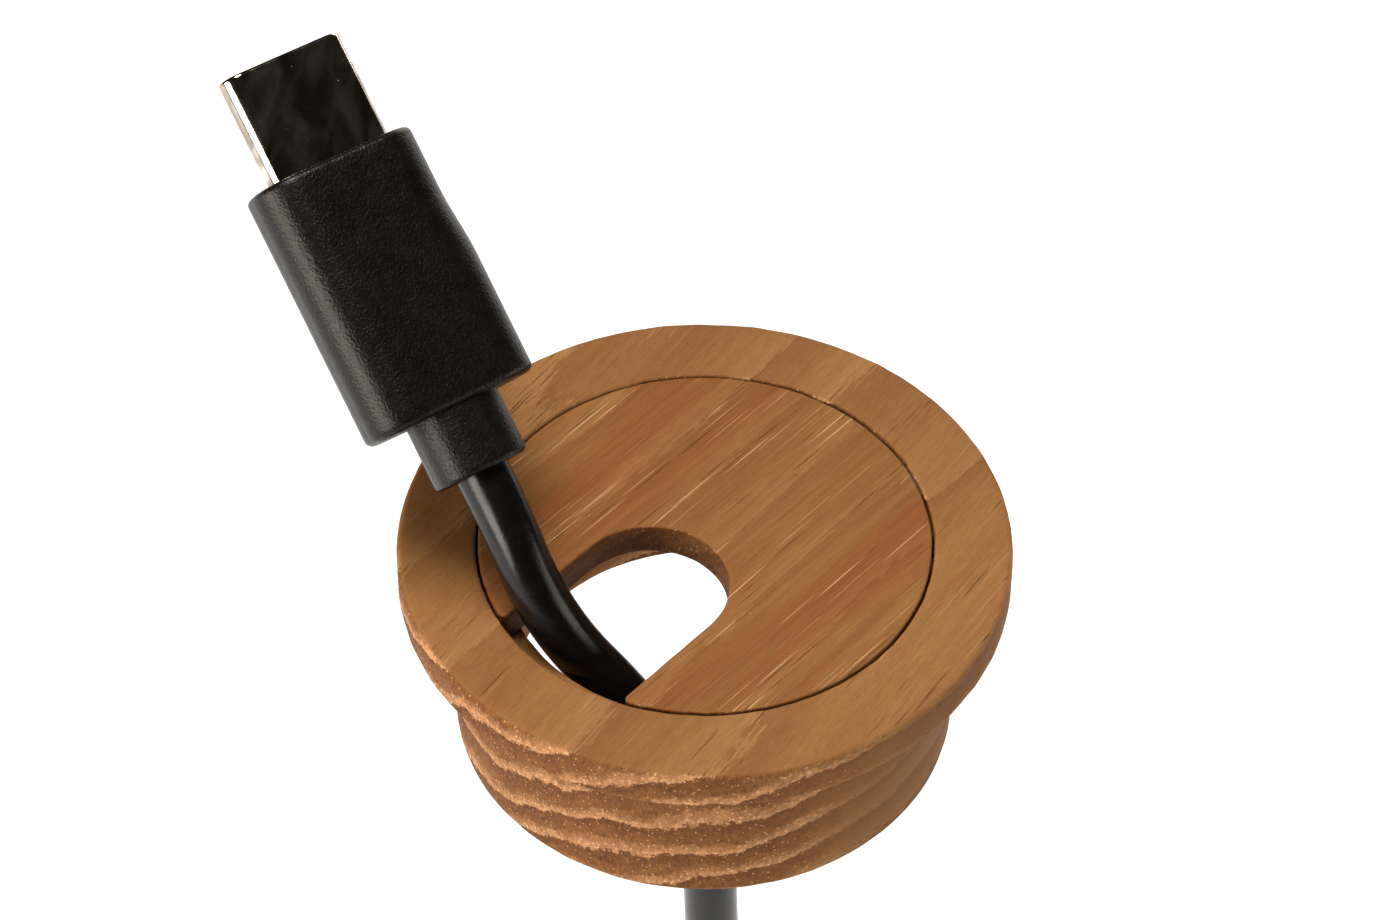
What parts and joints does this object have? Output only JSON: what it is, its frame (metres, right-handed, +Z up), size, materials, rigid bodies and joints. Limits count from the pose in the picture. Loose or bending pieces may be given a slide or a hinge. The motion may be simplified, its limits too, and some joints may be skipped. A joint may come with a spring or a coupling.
{
  "type": "desk cable grommet",
  "caption": "Round wooden desk grommet: a flanged sleeve with a loose notched lid flush in its top, and a USB-C lead passing up through the notch, the rest tied below.",
  "frame": {"origin": "on the grommet's axis, in the plane of the flange's underside, which is the desk's top surface", "axes": "+Z up out of the desk, along the barrel's axis; +Y towards the back of the desk; +X to the right as seen by someone at the front"},
  "size_m": [0.0482, 0.038, 0.1695],
  "materials": {
    "sleeve_wood": "satin, turned, open-pored",
    "lid_wood": "satin, fine straight grain",
    "cord_jacket": "satin, smooth thermoplastic jacket",
    "strap": "woven hook-and-loop strap",
    "strain_relief_plastic": "matt, fine moulded texture",
    "plug_plastic": "matt, fine spark-eroded texture",
    "can_steel": "plain rolled",
    "shell_steel": "bright nickel plate",
    "insulator_plastic": "smooth moulded",
    "contact_gold": "gold plate",
    "latch_steel": "spring steel",
    "card_laminate": "solder-resist lacquer",
    "wire_insulation": "smooth"
  },
  "bodies": {
    "sleeve": {"sleeve": "sleeve_wood"},
    "lead": {"cord_lower": "cord_jacket", "cord_hank": "cord_jacket", "hank_tie": "strap", "cord_tail": "cord_jacket", "far_strain_relief": "strain_relief_plastic", "far_overmould": "plug_plastic", "far_shield_can": "can_steel", "far_shell": "shell_steel", "far_insulator": "insulator_plastic", "far_upper_contacts": "contact_gold", "far_lower_contacts": "contact_gold", "far_latch": "latch_steel", "far_card": "card_laminate", "far_wires": "wire_insulation"},
    "lid": {"lid": "lid_wood", "cord_upper": "cord_jacket", "near_strain_relief": "strain_relief_plastic", "near_overmould": "plug_plastic", "near_shield_can": "can_steel", "near_shell": "shell_steel", "near_insulator": "insulator_plastic", "near_upper_contacts": "contact_gold", "near_lower_contacts": "contact_gold", "near_latch": "latch_steel", "near_card": "card_laminate", "near_wires": "wire_insulation"}
  },
  "joints": [
    {"name": "lid_turn", "type": "hinge", "parent": "sleeve", "child": "lead", "pos_m": [0, 0, 0], "axis": [0, 0, 1], "continuous": true},
    {"name": "lid_lift", "type": "slide", "parent": "lead", "child": "lid", "axis": [0, 0, 1], "range_m": [0, 0.01]}
  ]
}
